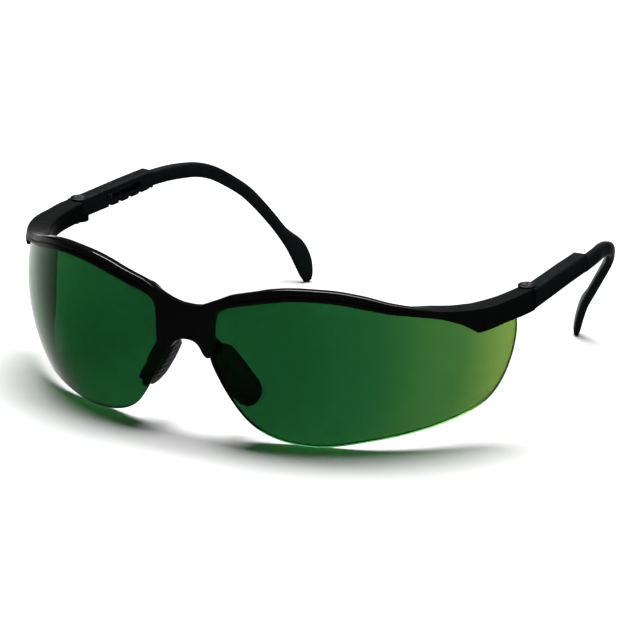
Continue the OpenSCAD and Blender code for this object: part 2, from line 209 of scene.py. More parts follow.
class Nodes:
    """A short way to build one material's nodes."""

    def __init__(self, name):
        self.material = bpy.data.materials.new(name)
        self.material.use_nodes = True
        self.tree = self.material.node_tree
        self.shader = self.tree.nodes["Principled BSDF"]
        self.output = self.tree.nodes["Material Output"]
        self.place = self.add("ShaderNodeTexCoord").outputs["Object"]

    def add(self, kind, **values):
        node = self.tree.nodes.new(kind)
        for key, value in values.items():
            if key in node.inputs:
                node.inputs[key].default_value = value
            else:
                setattr(node, key, value)
        return node

    def link(self, a, b):
        self.tree.links.new(a, b)

    def noise(self, scale, detail=4.0, roughness=0.5, stretch=(1, 1, 1)):
        """A noise factor whose features are about 1/scale metres."""
        mapping = self.add("ShaderNodeMapping")
        mapping.inputs["Scale"].default_value = stretch
        self.link(self.place, mapping.inputs["Vector"])
        node = self.add("ShaderNodeTexNoise")
        node.inputs["Scale"].default_value = scale
        node.inputs["Detail"].default_value = detail
        node.inputs["Roughness"].default_value = roughness
        self.link(mapping.outputs[0], node.inputs["Vector"])
        return node.outputs["Fac"]

    def spread(self, factor, low, high, start=0.3, end=0.7):
        """Carries a factor's start to end range onto low to high."""
        node = self.add("ShaderNodeMapRange")
        node.inputs["From Min"].default_value = start
        node.inputs["From Max"].default_value = end
        node.inputs["To Min"].default_value = low
        node.inputs["To Max"].default_value = high
        self.link(factor, node.inputs["Value"])
        return node.outputs[0]

    def blend(self, factor, a, b):
        """A colour between a and b. Each is a colour or a socket."""
        node = self.add("ShaderNodeMix", data_type="RGBA")
        self.link(factor, node.inputs[0])
        for value, socket in ((a, node.inputs[6]), (b, node.inputs[7])):
            if isinstance(value, bpy.types.NodeSocket):
                self.link(value, socket)
            else:
                socket.default_value = (*value, 1)
        return node.outputs[2]

    def between(self, factor, a, b):
        """A number from a to b by the factor. a is a socket, and b is a socket or a number."""
        node = self.add("ShaderNodeMix", data_type="FLOAT")
        self.link(factor, node.inputs[0])
        self.link(a, node.inputs[2])
        if isinstance(b, bpy.types.NodeSocket):
            self.link(b, node.inputs[3])
        else:
            node.inputs[3].default_value = b
        return node.outputs[0]

    def times(self, a, b):
        node = self.add("ShaderNodeMath", operation="MULTIPLY")
        self.link(a, node.inputs[0])
        self.link(b, node.inputs[1])
        return node.outputs[0]

    def bump(self, height, strength, distance):
        node = self.add("ShaderNodeBump")
        node.inputs["Strength"].default_value = strength
        node.inputs["Distance"].default_value = distance
        self.link(height, node.inputs["Height"])
        self.link(node.outputs[0], self.shader.inputs["Normal"])

    def edges(self, start, end):
        """A factor that rises on the mesh's convex edges."""
        geometry = self.add("ShaderNodeNewGeometry")
        return self.spread(geometry.outputs["Pointiness"], 0, 1, start, end)


def moulded_plastic(name, dark, light, rough, grain, coat, pale_edges, specular=0.5):
    """Injection-moulded nylon: mottled sheen, a fine grain, and convex edges a little paler."""
    n = Nodes(name)
    mottle = n.noise(260, 6, 0.6)
    body = n.blend(mottle, dark, light)
    # Convex edges, found by pointiness, are made a little paler.
    if pale_edges:
        body = n.blend(n.edges(0.53, 0.62), body, tuple(c * 2 + 0.006 for c in light))
    n.link(body, n.shader.inputs["Base Color"])
    n.link(n.spread(n.noise(900, 3), rough[0], rough[1]), n.shader.inputs["Roughness"])
    n.bump(n.noise(5200, 2), 0.25, grain)
    n.shader.inputs["IOR"].default_value = 1.45
    n.shader.inputs["Specular IOR Level"].default_value = specular
    n.shader.inputs["Coat Weight"].default_value = coat
    n.shader.inputs["Coat Roughness"].default_value = 0.05
    return n.material


def brow_plastic():
    """Glossy nylon whose outer ends are moulded with a satin texture."""
    n = Nodes("brow_black_nylon")
    body = n.blend(n.noise(260, 6, 0.6), (0.002, 0.0022, 0.0025), (0.004, 0.0045, 0.005))
    n.link(body, n.shader.inputs["Base Color"])
    split = n.add("ShaderNodeSeparateXYZ")
    n.link(n.place, split.inputs[0])
    width = n.add("ShaderNodeMath", operation="ABSOLUTE")
    n.link(split.outputs["X"], width.inputs[0])
    satin = n.spread(width.outputs[0], 0, 1, SATIN_FROM[0] * MM, SATIN_FROM[1] * MM)
    n.link(n.spread(satin, 0.4, 0.0, 0, 1), n.shader.inputs["Coat Weight"])
    n.link(n.spread(satin, 0.5, 0.12, 0, 1), n.shader.inputs["Specular IOR Level"])
    rough = n.between(satin, n.spread(n.noise(900, 3), 0.07, 0.16), n.spread(n.noise(900, 3), 0.38, 0.5))
    n.link(rough, n.shader.inputs["Roughness"])
    n.bump(n.noise(5200, 2), 0.25, 0.00001)
    n.shader.inputs["IOR"].default_value = 1.45
    n.shader.inputs["Coat Roughness"].default_value = 0.05
    return n.material


def pad_rubber():
    """Soft black rubber with a powdery bloom."""
    n = Nodes("pad_rubber")
    bloom = n.noise(420, 8, 0.65)
    n.link(n.blend(bloom, (0.004, 0.004, 0.0045), (0.012, 0.0125, 0.013)), n.shader.inputs["Base Color"])
    n.link(n.spread(n.noise(1500, 4), 0.55, 0.8), n.shader.inputs["Roughness"])
    n.bump(n.noise(6500, 3), 0.4, 0.00005)
    n.shader.inputs["Sheen Weight"].default_value = 0.25
    n.shader.inputs["Sheen Roughness"].default_value = 0.4
    return n.material


def turned_metal(name, dark, light, rough):
    """Turned metal: brushed rings by stretched noise, which also blends its colour from dark to light."""
    n = Nodes(name)
    brushed = n.noise(2600, 5, 0.7, stretch=(1, 1, 9))
    n.link(n.blend(brushed, dark, light), n.shader.inputs["Base Color"])
    n.link(n.spread(brushed, rough[0], rough[1]), n.shader.inputs["Roughness"])
    n.bump(brushed, 0.2, 0.00003)
    n.shader.inputs["Metallic"].default_value = 1.0
    return n.material


def between_spheres(n, side):
    """A factor that is 1 inside the thickness of the lens and 0 on its two spherical faces."""
    skin, fade = 0.05, 0.1
    depth = n.add("ShaderNodeVectorMath", operation="DISTANCE")
    n.link(n.place, depth.inputs[0])
    depth.inputs[1].default_value = placed((LENS_CENTRE.x * side, LENS_CENTRE.y, LENS_CENTRE.z))
    outer = LENS_RADIUS - skin
    inner = LENS_RADIUS - LENS_THICKNESS + skin
    below = n.spread(depth.outputs["Value"], 1, 0, (outer - fade) * MM, outer * MM)
    above = n.spread(depth.outputs["Value"], 0, 1, inner * MM, (inner + fade) * MM)
    return n.times(below, above)


def filter_lens(name, side):
    """Dyed polycarbonate, deep green; its paling to yellow-green where the shell wraps to the temple is a
    painted highlight.

    The cut face at its rear is ground dull, and the rest of the lens is polished.
    """
    n = Nodes(name)
    split = n.add("ShaderNodeSeparateXYZ")
    n.link(n.place, split.inputs[0])
    # The colour pales towards the lens's rear: a painted highlight over the deep green tint.
    reach = n.spread(split.outputs["Y"], 0, 1, LENS_FRONT_Y + 0.002, LENS_FRONT_Y + 0.052)
    ramp = n.add("ShaderNodeValToRGB")
    ramp.color_ramp.interpolation = "EASE"
    stops = ((0.0, DEEP_GREEN), (0.15, MID_GREEN), (0.5, LEAF_GREEN), (0.95, OLIVE))
    for index, (at, colour) in enumerate(stops):
        stop = ramp.color_ramp.elements[index] if index < 2 else ramp.color_ramp.elements.new(at)
        stop.position = at
        stop.color = (*colour, 1)
    n.link(reach, ramp.inputs[0])
    streaks = n.noise(60, 3, 0.5)
    tint_and_highlight = n.blend(n.spread(streaks, 0, 0.12), ramp.outputs[0], (0.009, 0.075, 0.026))
    n.link(tint_and_highlight, n.shader.inputs["Base Color"])
    ground = n.times(between_spheres(n, side), n.spread(reach, 0, 1, 0.55, 0.75))
    polished = n.spread(n.noise(300, 5), 0.0, 0.035)
    n.link(n.between(ground, polished, GROUND_ROUGHNESS), n.shader.inputs["Roughness"])
    n.bump(n.noise(35, 2), 0.05, 0.00004)
    n.shader.inputs["Transmission Weight"].default_value = 1.0
    n.shader.inputs["IOR"].default_value = 1.585
    lets_light = n.add("ShaderNodeBsdfTransparent")
    shadow = n.blend(n.spread(streaks, 0.0, 0.2), (0.02, 0.10, 0.02), (0.05, 0.16, 0.02))
    n.link(shadow, lets_light.inputs[0])
    path = n.add("ShaderNodeLightPath")
    both = n.add("ShaderNodeMixShader")
    n.link(path.outputs["Is Shadow Ray"], both.inputs[0])
    n.link(n.shader.outputs[0], both.inputs[1])
    n.link(lets_light.outputs[0], both.inputs[2])
    n.link(both.outputs[0], n.output.inputs["Surface"])
    return n.material


# The lens's deep green tint, then the paler stops towards its rear, which are a painted highlight.
DEEP_GREEN = (0.0045, 0.0465, 0.012)
MID_GREEN = (0.008, 0.066, 0.0165)
LEAF_GREEN = (0.034, 0.116, 0.0255)
OLIVE = (0.152, 0.250, 0.050)
GROUND_ROUGHNESS = 0.6

# How far from the middle the brow's gloss turns to satin, in millimetres.
SATIN_FROM = (50, 61)

BROW_BLACK = brow_plastic()
GLOSS_BLACK = moulded_plastic(
    "gloss_black_nylon", (0.002, 0.0022, 0.0025), (0.004, 0.0045, 0.005), (0.07, 0.16), 0.00001,
    coat=0.4, pale_edges=True,
)
SATIN_BLACK = moulded_plastic(
    "satin_black_nylon", (0.0022, 0.0042, 0.0045), (0.005, 0.0080, 0.0088), (0.30, 0.44), 0.00002,
    coat=0.0, pale_edges=True, specular=0.3,
)
SLEEVE_BLACK = moulded_plastic(
    "sleeve_black_nylon", (0.0022, 0.0042, 0.0045), (0.005, 0.0080, 0.0088), (0.28, 0.42), 0.00002,
    coat=0.0, pale_edges=False, specular=0.3,
)
PAD_RUBBER = pad_rubber()
SCREW_STEEL = turned_metal("screw_steel", (0.16, 0.16, 0.17), (0.42, 0.42, 0.44), (0.22, 0.42))
INSERT_BRASS = turned_metal("insert_brass", (0.42, 0.30, 0.12), (0.78, 0.60, 0.28), (0.25, 0.4))


def finish_piece(obj, material, slot, body, *nodes):
    """Gives a piece its material and its body, and hides what it replaces. Its record slot is not used.
    """
    obj.data.materials.clear()
    obj.data.materials.append(material)
    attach(obj, body)
    if nodes:
        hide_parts(*nodes)
    return obj


# ---------- lenses ----------

# The lens's edge: distance along the wrapped lens, height above the table.
LENS_EDGE = [
    (-41, 22), (-38.4, 16), (-35.7, 11.4), (-33, 7.6), (-30.2, 4.7), (-26.6, 2.4),
    (-22, 0.8), (-16, 0.04), (-10, 0.3), (0, 2.2), (8.3, 3.7), (16.2, 5.4), (23, 7.2),
    (29.6, 9.7), (33.4, 12.6), (36, 16.2), (38, 20.6), (39.4, 25.4), (40, 31),
    (38.5, 34.6), (30, 36.7), (18.5, 38.7), (5, 40.9), (-8, 43.1), (-20.5, 43.3),
    (-30.5, 41.2), (-36.5, 38.5), (-40, 34), (-41.3, 28),
]
LENS_MIDDLE = (-1.0, 22.0)
ALONG = Vector((math.cos(WRAP), math.sin(WRAP), 0))
FORWARD = Vector((math.sin(WRAP), -math.cos(WRAP), 0))
UP = Vector((0, 0, 1))


def towards(u, z):
    """The unit direction from the sphere's centre to a point of the lens's outer face."""
    rise = z - LENS_CENTRE.z
    depth = math.sqrt(LENS_RADIUS ** 2 - u * u - rise * rise)
    return (ALONG * u + FORWARD * depth + UP * rise) / LENS_RADIUS


def lens(side):
    """A spherical shell with a fine bevel all round its edge."""
    rings = 26
    bevel = 0.22
    edge = smooth_loop(LENS_EDGE, 7)
    count = len(edge)
    inner_radius = LENS_RADIUS - LENS_THICKNESS

    def ring(share, radius, inset=0.0):
        out = []
        for u, z in edge:
            du, dz = LENS_MIDDLE[0] - u, LENS_MIDDLE[1] - z
            step = inset / math.hypot(du, dz)
            at = 1 - share
            out.append(LENS_CENTRE + towards(u + du * (at + step), z + dz * (at + step)) * radius)
        return out

    shares = [math.sin(math.pi / 2 * (i + 1) / rings) for i in range(rings)]
    outer = [ring(s, LENS_RADIUS, bevel) for s in shares]
    inner = [ring(s, inner_radius, bevel) for s in reversed(shares)]
    rim = [
        ring(1, LENS_RADIUS - bevel * 0.3, bevel * 0.3),
        ring(1, LENS_RADIUS - bevel, 0.0),
        ring(1, inner_radius + bevel, 0.0),
        ring(1, inner_radius + bevel * 0.3, bevel * 0.3),
    ]
    points, faces = loft(outer + rim + inner, closed_ends=False)
    for radius, start, flip in ((LENS_RADIUS, 0, False), (inner_radius, len(points) - count, True)):
        middle = len(points)
        points.append(LENS_CENTRE + towards(*LENS_MIDDLE) * radius)
        for k in range(count):
            face = (middle, start + (k + 1) % count, start + k)
            faces.append(tuple(reversed(face)) if flip else face)
    name = "left_lens_shell" if side > 0 else "right_lens_shell"
    obj = solid(name, points, faces, side < 0)
    shade(obj, 50)
    return obj


# ---------- brow frame ----------

# Pairs of points, bottom edge and top edge, from the middle of the bridge to where the brow begins.
# Each is the distance along the frame's front from the middle of the bridge, and the height.
BRIDGE_PAIRS = [
    ((0, 26.3), (0, 35.8)), ((2.2, 26.0), (1.8, 35.9)), ((3.9, 25.0), (3.2, 36.2)),
    ((5.3, 23.3), (4.4, 36.6)), ((6.6, 22.6), (5.6, 37.1)), ((7.9, 23.0), (6.8, 37.7)),
    ((8.65, 24.6), (7.8, 38.2)), ((8.85, 27.5), (8.8, 38.7)), ((8.95, 31.0), (9.8, 39.2)),
    ((9.3, 34.0), (11.0, 39.8)), ((10.5, 35.9), (12.4, 40.5)), ((13.0, 37.2), (14.2, 41.2)),
]
# The same from there to the hinge, along the wrapped lens.
BROW_PAIRS = [
    ((-31, 39.4), (-30.5, 42.9)), ((-26, 40.7), (-26, 44.2)), ((-20.7, 41.7), (-20.7, 45.0)),
    ((-14.5, 42.0), (-14.5, 45.2)), ((-8, 41.6), (-8, 44.9)), ((-1, 40.4), (-1, 43.7)),
    ((5.2, 39.1), (5.2, 42.0)), ((12, 38.1), (12, 40.5)), ((18.5, 36.9), (18.5, 39.2)),
    ((23.6, 35.0), (23.6, 38.5)), ((26.6, 33.4), (26.8, 38.2)), ((28.9, 31.75), (29.2, 38.0)),
]
# And along the endpiece: the angle about the sphere's axis, in degrees, then the heights.
ENDPIECE_PAIRS = [
    (69.2, 31.62, 37.88), (72.5, 31.9, 37.8), (77, 32.1, 37.75), (82, 32.0, 37.7),
    (87, 31.9, 37.7), (92.4, 31.8, 37.6),
]
BRIDGE_HALF = 9.0
BRIDGE_MIDDLE_Y = 2.6
BRIDGE_BACK_Y = 3.8
# Behind the lens the bridge is narrower, and leaves the lens's inner edge free.
RABBET = ((6.35, 1.9), (12.0, 0.95), (12.0, 8.0), (6.35, 8.0))
RABBET_TOP = 35.4
BELOW_BRIDGE = 10
FRONT_LIP = 1.5
# The hinge root on the endpiece: how far it reaches inwards and forwards from the hinge's axis.
ROOT_INWARDS = 1.6
ROOT_FORWARDS = KNUCKLE_RADIUS + 1.2
INSERT_RADIUS = 1.3
INSERT_FLOOR = 32.0


def plan_angle(x):
    """The angle about the sphere's vertical axis of the plan point at x on the front."""
    return math.asin((x - LENS_CENTRE.x) / LENS_RADIUS)


BRIDGE_ANGLE = plan_angle(BRIDGE_HALF)


def run_of_angle(angle):
    return BRIDGE_HALF + LENS_RADIUS * (angle - BRIDGE_ANGLE)


def run_of_lens(u, z):
    """How far along the front a point of the wrapped lens's drawing lies."""
    rise = z - LENS_CENTRE.z
    depth = math.sqrt((LENS_RADIUS + FRONT_LIP) ** 2 - u * u - rise * rise)
    plan = ALONG * u + FORWARD * depth
    return run_of_angle(math.atan2(plan.x, -plan.y))


def base_y(run):
    """How far back the front's base line lies: a shallow valley at the bridge that meets both spheres."""
    if run >= BRIDGE_HALF:
        return LENS_CENTRE.y - LENS_RADIUS * math.cos(BRIDGE_ANGLE + (run - BRIDGE_HALF) / LENS_RADIUS)
    t = run / BRIDGE_HALF
    edge_y = LENS_CENTRE.y - LENS_RADIUS * math.cos(BRIDGE_ANGLE)
    slope = math.tan(BRIDGE_ANGLE) * BRIDGE_HALF
    return (
        BRIDGE_MIDDLE_Y * (2 * t ** 3 - 3 * t * t + 1)
        + edge_y * (3 * t * t - 2 * t ** 3)
        + slope * (t ** 3 - t * t)
    )


def front_point(run, z, out):
    """The point at a run and height, out millimetres in front of the lens's outer sphere."""
    rise = z - LENS_CENTRE.z
    flat = math.sqrt((LENS_RADIUS + out) ** 2 - rise * rise)
    if run >= BRIDGE_HALF:
        angle = BRIDGE_ANGLE + (run - BRIDGE_HALF) / LENS_RADIUS
        return Vector((LENS_CENTRE.x + flat * math.sin(angle), LENS_CENTRE.y - flat * math.cos(angle), z))
    angle = BRIDGE_ANGLE * run / BRIDGE_HALF
    back = LENS_RADIUS - flat
    x = run - back * math.sin(angle) * run / BRIDGE_HALF
    return Vector((x, base_y(run) + back * math.cos(angle), z))


def brow_section(run, height):
    """The frame's section as (height above its lower edge, out from the sphere)."""
    bridge = 1 - ease(9, 15, run)
    end = ease(60, 74, run)
    tip = ease(83, 98, run)
    groove = 0.28 * (1 - bridge) * (1 - ease(58, 68, run))
    lip = 0.26 * (1 - bridge) * (1 - ease(60, 72, run)) + 0.04
    front = FRONT_LIP - 1.2 * tip * tip - 0.3 * ease(98, 108, run)
    back = mix(mix(-2.6, base_y(min(run, 15)) - BRIDGE_BACK_Y, bridge), -5.0, end)
    full = max(bridge * 0.85, end)
    under = mix(0.75, 0.22, end)
    return [
        (0.00, front - under - 0.55),
        (0.03, front - under),
        (0.28, front - lip - 0.10),
        (0.31 * height, front - lip),
        (0.345 * height, front - lip - 0.02),
        (0.375 * height, front - lip - groove),
        (0.42 * height, front - lip - groove),
        (0.53 * height, front - 0.05 - 0.2 * lip),
        (0.76 * height, front),
        (height - 0.24, front - 0.03),
        (height - 0.05, front - 0.22),
        (height - 0.01, front - 0.75),
        (height, front - 1.70),
        (mix(0.88 * height, height - 0.02, full), mix(front - 2.5, (front + back) / 2, full)),
        (mix(0.62 * height, height - 0.12, full), mix(back + 0.55, back + 0.8, full)),
        (mix(0.44 * height, height - 0.7, full), back + 0.1),
        (mix(0.25 * height, 0.5 * height, full), back),
        (0.40, back + 0.05),
        (0.04, back + 0.55),
        (0.00, mix(back + 1.2, (front + back) / 2, full)),
    ]


def brow_pairs():
    """The frame's lower and upper edges as matched points (run, height)."""
    pairs = [(*low, *high) for low, high in BRIDGE_PAIRS]
    pairs += [(run_of_lens(*low), low[1], run_of_lens(*high), high[1]) for low, high in BROW_PAIRS]
    for degrees, low, high in ENDPIECE_PAIRS:
        run = run_of_angle(math.radians(degrees))
        pairs.append((run, low, run, high))
    return pairs


def joint_y(x):
    """The slanted joint between endpiece and sleeve, seen from above."""
    t = (x - JOINT_INSIDE.x) / (JOINT_OUTSIDE.x - JOINT_INSIDE.x)
    return mix(JOINT_INSIDE.y, JOINT_OUTSIDE.y, t) - JOINT_GAP


def brow_frame():
    """The brow, bridge and endpieces as one swept body, with the hinge knuckles joined on."""
    columns = smooth(brow_pairs(), 9)
    half = []
    for run_low, low, run_high, high in columns:
        height = math.hypot(high - low, run_high - run_low)
        ring = []
        for a, out in smooth_loop(brow_section((run_low + run_high) / 2, height), 3):
            t = a / height
            ring.append(front_point(mix(run_low, run_high, t), mix(low, high, t), out))
        half.append(ring)
    half[-1] = [Vector((p.x, joint_y(p.x), p.z)) for p in half[-1]]
    other = [[Vector((-p.x, p.y, p.z)) for p in ring] for ring in reversed(half[1:])]
    points, faces = loft(other + half)
    obj = solid("brow_frame_body", points, faces)
    for side in (1, -1):
        wrong = side < 0
        combine(obj, prism("rabbet", RABBET, BELOW_BRIDGE, RABBET_TOP, wrong), "DIFFERENCE")
        root = [
            (HINGE.x - ROOT_INWARDS, HINGE.y), (HINGE.x - ROOT_INWARDS, HINGE.y - ROOT_FORWARDS),
            (HINGE.x + KNUCKLE_RADIUS, HINGE.y - ROOT_FORWARDS), (HINGE.x + KNUCKLE_RADIUS, HINGE.y),
        ]
        split = KNUCKLE_SPLIT
        relief = cylinder("relief", HINGE, KNUCKLE_RADIUS + 0.15, split, ABOVE_ALL, wrong)
        combine(obj, relief, "DIFFERENCE")
        knuckle = cylinder("knuckle", HINGE, KNUCKLE_RADIUS, KNUCKLE_FLOOR, split, wrong)
        combine(obj, knuckle, "UNION")
        combine(obj, prism("root", root, KNUCKLE_FLOOR + 0.01, split - 0.01, wrong), "UNION")
        combine(obj, cylinder("seat", HINGE, INSERT_RADIUS, INSERT_FLOOR, ABOVE_ALL, wrong), "DIFFERENCE")
    shade(obj, 35)
    return obj


# ---------- temple arms ----------

# The centre of the arm, from the sleeve to the tip.
ARM_PATH = [
    (68.75, 88.4, 35.0), (67.1, 96.5, 34.8), (65.3, 102.5, 34.3), (64.0, 107.2, 33.4),
    (62.3, 111.8, 31.6), (60.0, 116.0, 28.7), (57.1, 119.7, 25.2), (54.4, 121.8, 21.7),
    (51.5, 123.5, 17.8), (48.6, 124.9, 13.7), (45.9, 126.0, 9.6), (44.0, 126.9, 5.6),
    (42.8, 127.5, 2.2), (42.3, 127.8, 0.4),
]
# Half height, half thickness, and shift towards the back of the head, at each point.
ARM_SIZE = [
    (2.15, 1.45, 0), (2.15, 1.4, 0), (2.1, 1.38, 0), (2.0, 1.35, 0), (1.9, 1.32, 0),
    (1.8, 1.3, 0), (1.7, 1.28, 0), (1.62, 1.26, 0), (1.55, 1.24, 0), (1.6, 1.22, 0.05),
    (2.5, 1.2, 0.75), (2.55, 1.15, 0.65), (1.9, 1.05, 0.25), (1.1, 0.75, 0),
]
# The way the arm's thickness faces at its two ends, and how the turn is spread along it.
ARM_HEADING = (TEMPLE_LEAN, math.radians(34))
ARM_TWIST_SPREAD = 0.8
# 1 would make the arm's section an ellipse, and 0 a rectangle.
ARM_ROUNDNESS = 0.7
# The rounding under the tip: the share of the last section's size, and how far below it.
ARM_TIP = ((0.6, 0.22), (0.2, 0.32))
# Two opposite corners of the blade, in the temple's own frame.
BLADE = ((0.45, 9.5, 34.6), (1.95, 32.3, 36.8))


def temple_point(x, y, z):
    """A point of the temple's own frame: x outwards, y rearwards from the hinge axis."""
    c, s = math.cos(TEMPLE_LEAN), math.sin(TEMPLE_LEAN)
    return Vector((HINGE.x + c * x - s * y, HINGE.y + s * x + c * y, z))


BOX_FACES = [(0, 1, 3, 2), (4, 6, 7, 5), (0, 4, 5, 1), (2, 3, 7, 6), (0, 2, 6, 4), (1, 5, 7, 3)]


def temple_box(name, low, high, mirrored):
    """A box between two corners of the temple's own frame."""
    points = [
        temple_point(x, y, z)
        for x in (low[0], high[0])
        for y in (low[1], high[1])
        for z in (low[2], high[2])
    ]
    return solid(name, points, BOX_FACES, mirrored)


def temple_arm(side):
    """The curved arm with its paddle tip, and the flat blade that runs in the sleeve."""
    sides = 40
    path = [Vector(p) for p in smooth(ARM_PATH, 9)]
    sizes = smooth(ARM_SIZE, 9)
    rings = []
    for i, (centre, (tall, thick, shift)) in enumerate(zip(path, sizes)):
        forward = (path[min(i + 1, len(path) - 1)] - path[max(i - 1, 0)]).normalized()
        heading = mix(*ARM_HEADING, (i / (len(path) - 1)) ** ARM_TWIST_SPREAD)
        flat = Vector((math.cos(heading), math.sin(heading), 0))
        across = (flat - forward * flat.dot(forward)).normalized()
        upright = across.cross(forward)
        ring = []
        for k in range(sides):
            a = 2 * math.pi * (k + 0.5) / sides
            c = math.copysign(abs(math.cos(a)) ** ARM_ROUNDNESS, math.cos(a))
            s = math.copysign(abs(math.sin(a)) ** ARM_ROUNDNESS, math.sin(a))
            ring.append(centre + upright * shift + across * c * thick + upright * s * tall)
        rings.append(ring)
    tip = path[-1]
    for share, drop in ARM_TIP:
        rings.append([tip + (p - tip) * share + Vector((0, 0, -drop)) for p in rings[len(path) - 1]])
    points, faces = loft(rings)
    wrong = side < 0
    obj = solid("left_arm" if side > 0 else "right_arm", points, faces, wrong)
    combine(obj, temple_box("blade", *BLADE, wrong), "UNION")
    shade(obj, 38)
    return obj


# ---------- temple sleeves ----------

SLEEVE_FACES = (-1.1, 3.2)
SLEEVE_LENGTH = 30.3
# Along the sleeve: how far behind the hinge, then the top and the bottoms of the outer and inner walls.
SLEEVE_SIDE = [
    (-3.4, 37.7, 31.85, 32.35), (3, 37.6, 32.15, 32.5), (8, 37.7, 32.4, 32.6),
    (14, 37.85, 32.7, 32.7), (20, 38.0, 33.0, 32.85), (SLEEVE_LENGTH, 38.1, 33.3, 33.4),
]
# Corner radii of the sleeve's section, from its lower inside corner round, and of its rear end.
SLEEVE_ROUNDS = (0.3, 0.45, 0.85, 0.5)
END_ROUND = 0.16
# The upper knuckle as height and radius, with a rounded top.
BOSS_TOP = 38.2
BOSS_PROFILE = (
    (34.2, KNUCKLE_RADIUS), (BOSS_TOP - 0.3, KNUCKLE_RADIUS),
    (BOSS_TOP - 0.09, KNUCKLE_RADIUS - 0.09), (BOSS_TOP, KNUCKLE_RADIUS - 0.3),
)
SCREW_HOLE_RADIUS = 0.75
COUNTERBORE_RADIUS = 1.53
COUNTERBORE_FLOOR = 37.48
CHANNEL = ((0.35, 34.5), (2.05, 36.9))
STUD_Y = 11.5
STUD_Z = 35.7
SLOT_RADIUS = 1.05
RATCHET_PITCH = 4.2
RATCHET_STEPS = 3
NOTCH_RADIUS = 0.85
NOTCH_Z = 32.9
NOTCH_LEAD = 0.6


def rounded(corners, radii, steps=6):
    """A closed outline through the corners, each rounded by its own radius. The corners are 2-D."""
    out = []
    n = len(corners)
    for i in range(n):
        here, before, after = (Vector(corners[(i + k) % n]) for k in (0, -1, 1))
        to_before, to_after = (before - here).normalized(), (after - here).normalized()
        half = to_before.angle(to_after) / 2
        centre = here + (to_before + to_after).normalized() * (radii[i] / math.sin(half))
        start = here + to_before * (radii[i] / math.tan(half)) - centre
        end = here + to_after * (radii[i] / math.tan(half)) - centre
        turn = start.angle_signed(end)
        for k in range(steps + 1):
            out.append(centre + Matrix.Rotation(-turn * k / steps, 2) @ start)
    return out


def cross_bar(name, outline, low_x, high_x, mirrored):
    """A bar across the temple: a (y, z) outline of the temple's frame, from low_x to high_x."""
    rings = [[temple_point(x, y, z) for y, z in outline] for x in (low_x, high_x)]
    return solid(name, *loft(rings), mirrored)


def temple_sleeve(side):
    """The front half of a temple: a rounded bar with upper knuckle, stud window and notches."""
    wrong = side < 0
    inner, outer = SLEEVE_FACES
    stations = smooth(SLEEVE_SIDE, 6)
    last = stations[-1]
    rings = []
    for y, top, low_outer, low_inner in stations + [(last[0] + END_ROUND, *last[1:])]:
        inset = END_ROUND if y > SLEEVE_LENGTH else 0.0
        corners = [
            (inner + inset, low_inner + inset), (outer - inset, low_outer + inset),
            (outer - inset, top - inset), (inner + inset, top - inset),
        ]
        ring = rounded(corners, SLEEVE_ROUNDS)
        rings.append([temple_point(x, y - END_ROUND, z) for x, z in ring])
    obj = solid("left_sleeve" if side > 0 else "right_sleeve", *loft(rings), wrong)

    joint = [
        (JOINT_INSIDE.x - 5, JOINT_INSIDE.y - 12), (JOINT_OUTSIDE.x + 5, JOINT_OUTSIDE.y - 12),
        (JOINT_OUTSIDE.x + 5, joint_y(JOINT_OUTSIDE.x + 5) + 2 * JOINT_GAP),
        (JOINT_INSIDE.x - 5, joint_y(JOINT_INSIDE.x - 5) + 2 * JOINT_GAP),
    ]
    combine(obj, prism("joint", joint, BELOW_HINGE, ABOVE_ALL, wrong), "DIFFERENCE")
    shoulder = temple_box("shoulder", (-8, -8, BELOW_HINGE), (0, 0, ABOVE_ALL), wrong)
    combine(obj, shoulder, "DIFFERENCE")
    boss = [
        [(x, y, z) for x, y in circle(HINGE.x, HINGE.y, radius, 48)] for z, radius in BOSS_PROFILE
    ]
    combine(obj, solid("boss", *loft(boss), wrong), "UNION")
    room_radius = KNUCKLE_RADIUS + 0.2
    room_top = KNUCKLE_SPLIT + 0.1
    combine(obj, cylinder("room", HINGE, room_radius, BELOW_HINGE, room_top, wrong), "DIFFERENCE")
    room = temple_box("room", (-6, -6, BELOW_HINGE), (room_radius, 0, room_top), wrong)
    combine(obj, room, "DIFFERENCE")
    hole = cylinder("hole", HINGE, SCREW_HOLE_RADIUS, BELOW_HINGE, ABOVE_ALL, wrong)
    combine(obj, hole, "DIFFERENCE")
    counterbore = cylinder("counterbore", HINGE, COUNTERBORE_RADIUS, COUNTERBORE_FLOOR, ABOVE_ALL, wrong)
    combine(obj, counterbore, "DIFFERENCE")

    (low_x, low_z), (high_x, high_z) = CHANNEL
    combine(obj, temple_box("channel", (low_x, 5, low_z), (high_x, 60, high_z), wrong), "DIFFERENCE")
    slot_end = STUD_Y + RATCHET_STEPS * RATCHET_PITCH
    near_side = [(y, z) for y, z in circle(STUD_Y, STUD_Z, SLOT_RADIUS, 40) if y <= STUD_Y + 0.001]
    near_side.sort(key=lambda p: -p[1])
    far_side = [(slot_end + STUD_Y - y, z) for y, z in reversed(near_side)]
    window = cross_bar("window", near_side + far_side, inner - 1, low_x + 0.3, wrong)
    combine(obj, window, "DIFFERENCE")
    for step in range(RATCHET_STEPS + 2):
        at = STUD_Y + NOTCH_LEAD + step * RATCHET_PITCH
        outline = circle(at, NOTCH_Z, NOTCH_RADIUS, 40)
        combine(obj, cross_bar("notch", outline, inner - 1, low_x, wrong), "DIFFERENCE")
    shade(obj, 35)
    return obj


# ---------- nose pads ----------

PAD_TOP = Vector((7.2, 7.3, 25.1))
PAD_FOOT = Vector((17.1, 7.3, 10.1))
PAD_TURN = math.radians(4)
PAD_PITCH = math.radians(17)
PAD_FRONT = BRIDGE_BACK_Y + 0.32
PAD_HEIGHT = 18.5
PAD_WIDTH = 9.0
PAD_THICKNESS = 3.2
RIB_PITCH = 2.1
RIB_DEPTH = 0.30


